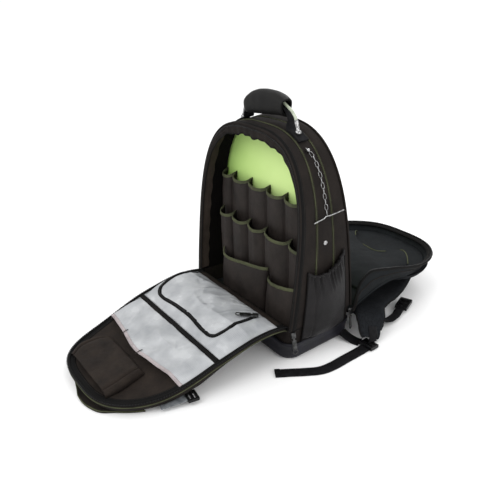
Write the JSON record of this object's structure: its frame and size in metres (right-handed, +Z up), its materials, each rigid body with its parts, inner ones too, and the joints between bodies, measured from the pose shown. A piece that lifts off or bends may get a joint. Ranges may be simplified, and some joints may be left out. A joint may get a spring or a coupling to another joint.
{
  "type": "open tool backpack",
  "caption": "Tool backpack on a moulded base, tool door laid forward and padded rear cover laid back, with tool pockets, side pocket, tape chain and carrying handle.",
  "frame": {"origin": "centre of the moulded base's flat underside, on the floor", "axes": "+Z up, the tool door faces -Y, +X is the right side seen from the front, where the chain and the side pocket are"},
  "size_m": [0.4932, 0.9394, 0.5202],
  "materials": {
    "moulded_plastic": "smooth satin moulded plastic",
    "body_cloth": "coated polyester duck, brownish black",
    "pocket_cloth": "coated polyester duck, brownish black",
    "side_pocket_cloth": "thin, slightly shiny nylon",
    "door_cloth": "coated polyester duck, brownish black",
    "cover_cloth": "bluish black lining cloth",
    "green_board": "lime green lining laid on a stiff board",
    "zip_tape": "woven zip tape with coil teeth",
    "clear_vinyl": "milky clear vinyl with a woven grid",
    "pale_binding": "pale pinkish grey binding tape",
    "grey_webbing": "flat grey webbing",
    "black_webbing": "flat black webbing",
    "black_plastic": "moulded black buckle plastic",
    "padding_mesh": "black spacer mesh over foam",
    "grip_cloth": "black padded cloth wrap",
    "clear_cable": "steel cable in a clear greenish sleeve",
    "bright_steel": "nickel-plated steel"
  },
  "bodies": {
    "root": {"moulded_base": "moulded_plastic", "lower_body": "body_cloth", "front_gusset": "body_cloth", "centre_gusset": "body_cloth", "rear_gusset": "body_cloth", "front_zip_tape": "zip_tape", "rear_zip_tape": "zip_tape", "divider_panel": "green_board", "top_tool_pockets": "pocket_cloth", "middle_tool_pockets": "pocket_cloth", "low_left_pocket": "pocket_cloth", "low_right_pocket": "pocket_cloth", "side_pocket": "side_pocket_cloth", "door_lining": "door_cloth", "door_shell": "body_cloth", "window_pocket": "clear_vinyl", "slip_pocket": "clear_vinyl", "door_band": "zip_tape", "slip_binding": "pale_binding", "window_zip": "zip_tape", "patch_pocket": "door_cloth", "door_outer_pocket": "body_cloth", "door_strap_right": "grey_webbing", "door_buckle_right": "black_plastic", "door_strap_left": "grey_webbing", "door_buckle_left": "black_plastic", "cover_board": "cover_cloth", "cover_rim": "cover_cloth", "document_sleeve": "cover_cloth", "back_pad": "padding_mesh", "shoulder_strap_right": "padding_mesh", "strap_adjuster_right": "black_plastic", "strap_webbing_right": "black_webbing", "strap_anchor_right": "black_webbing", "chest_webbing_right": "black_webbing", "chest_clip_right": "black_plastic", "shoulder_strap_left": "padding_mesh", "strap_adjuster_left": "black_plastic", "strap_webbing_left": "black_webbing", "strap_anchor_left": "black_webbing", "chest_webbing_left": "black_webbing", "chest_clip_left": "black_plastic", "handle_webbing": "black_webbing", "handle_grip": "grip_cloth", "handle_cable": "clear_cable", "cable_terminal_right": "bright_steel", "cable_terminal_left": "bright_steel", "tape_chain": "bright_steel", "tape_bar": "bright_steel", "snap_stud": "bright_steel", "front_zip_slider": "bright_steel", "rear_zip_slider": "bright_steel", "window_zip_slider": "bright_steel"}
  },
  "joints": []
}
